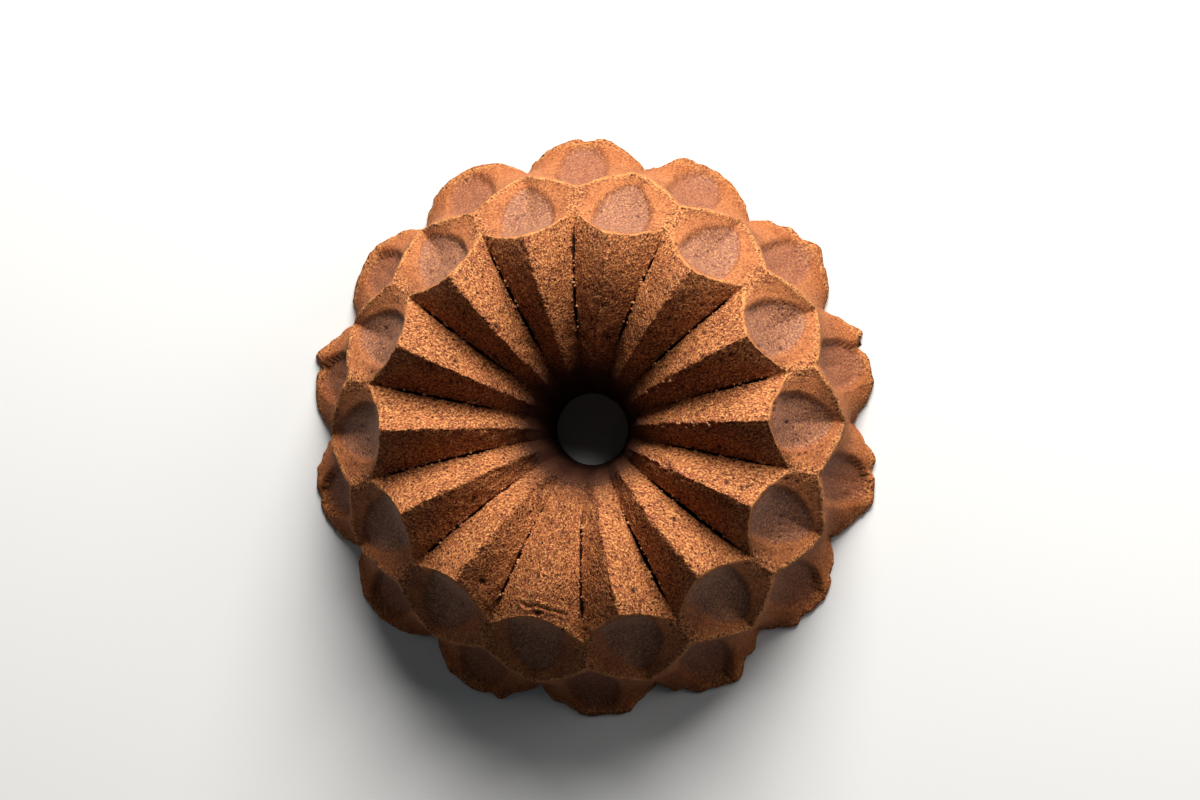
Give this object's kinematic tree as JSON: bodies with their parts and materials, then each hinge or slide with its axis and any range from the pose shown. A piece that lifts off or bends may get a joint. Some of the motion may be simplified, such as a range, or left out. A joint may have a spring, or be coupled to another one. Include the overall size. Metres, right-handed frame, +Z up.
{
  "type": "bundt cake",
  "caption": "Baked ring cake from a fluted pan: wedge ridges round a centre hole, each ending in a scooped dish above flared petals.",
  "frame": {"origin": "centre of the underside, where the axis of the centre hole meets the surface the cake stands on", "axes": "+Z up along the axis of the centre hole; +X runs out along the crest of one ridge"},
  "size_m": [0.2314, 0.236, 0.0819],
  "materials": {
    "crust": "Baked crust: golden brown and finely porous on the ridges, smoother and darker reddish brown in the scooped dishes, dull all over."
  },
  "bodies": {
    "root": {"bundt_cake": "crust"}
  },
  "joints": []
}
